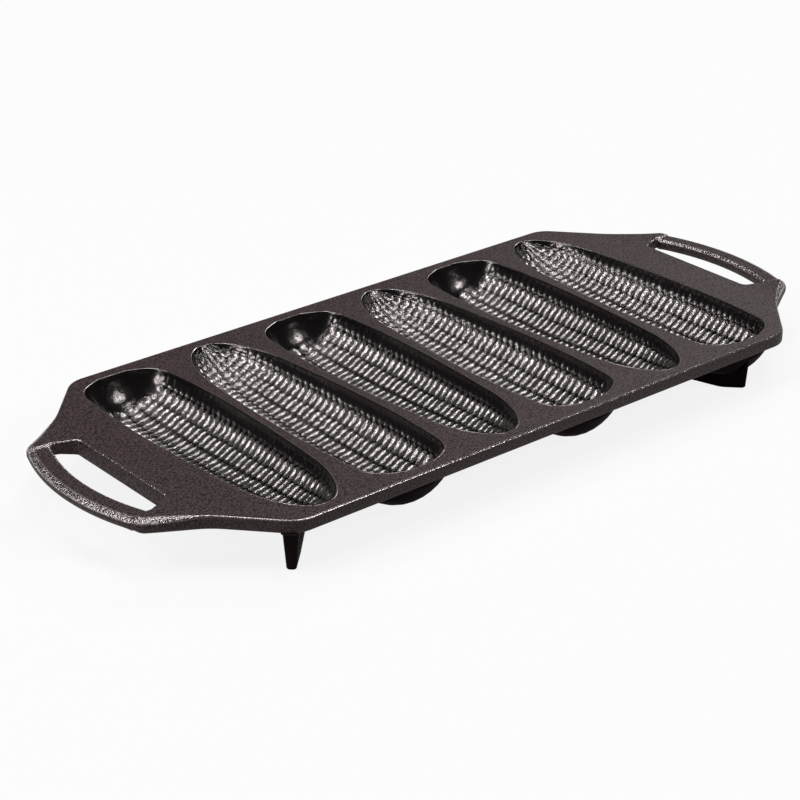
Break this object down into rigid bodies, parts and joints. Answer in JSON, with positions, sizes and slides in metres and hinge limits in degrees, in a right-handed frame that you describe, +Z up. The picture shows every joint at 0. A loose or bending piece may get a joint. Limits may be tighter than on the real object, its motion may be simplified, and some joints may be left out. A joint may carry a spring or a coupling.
{
  "type": "corn stick pan",
  "caption": "Cast iron baking pan with cob-shaped moulds full of kernel pits, a flat octagonal deck, loop handles at both ends and short fin feet.",
  "frame": {"origin": "centre of the pan on the surface that it stands on, under the middle of the deck", "axes": "+X along the pan from the left handle to the right handle, +Y across the pan to its far long side, +Z up, out of the moulds"},
  "size_m": [0.3438, 0.145, 0.0215],
  "materials": {
    "deck_iron": "matte, fine cast grain, seasoned",
    "mould_iron": "glossy oiled seasoning"
  },
  "bodies": {
    "root": {"deck_plate": "deck_iron", "corn_well_1": "mould_iron", "corn_well_2": "mould_iron", "corn_well_3": "mould_iron", "corn_well_4": "mould_iron", "corn_well_5": "mould_iron", "corn_well_6": "mould_iron", "left_handle": "deck_iron", "right_handle": "deck_iron", "foot_near_left": "deck_iron", "foot_near_right": "deck_iron", "foot_far_left": "deck_iron", "foot_far_right": "deck_iron"}
  },
  "joints": []
}
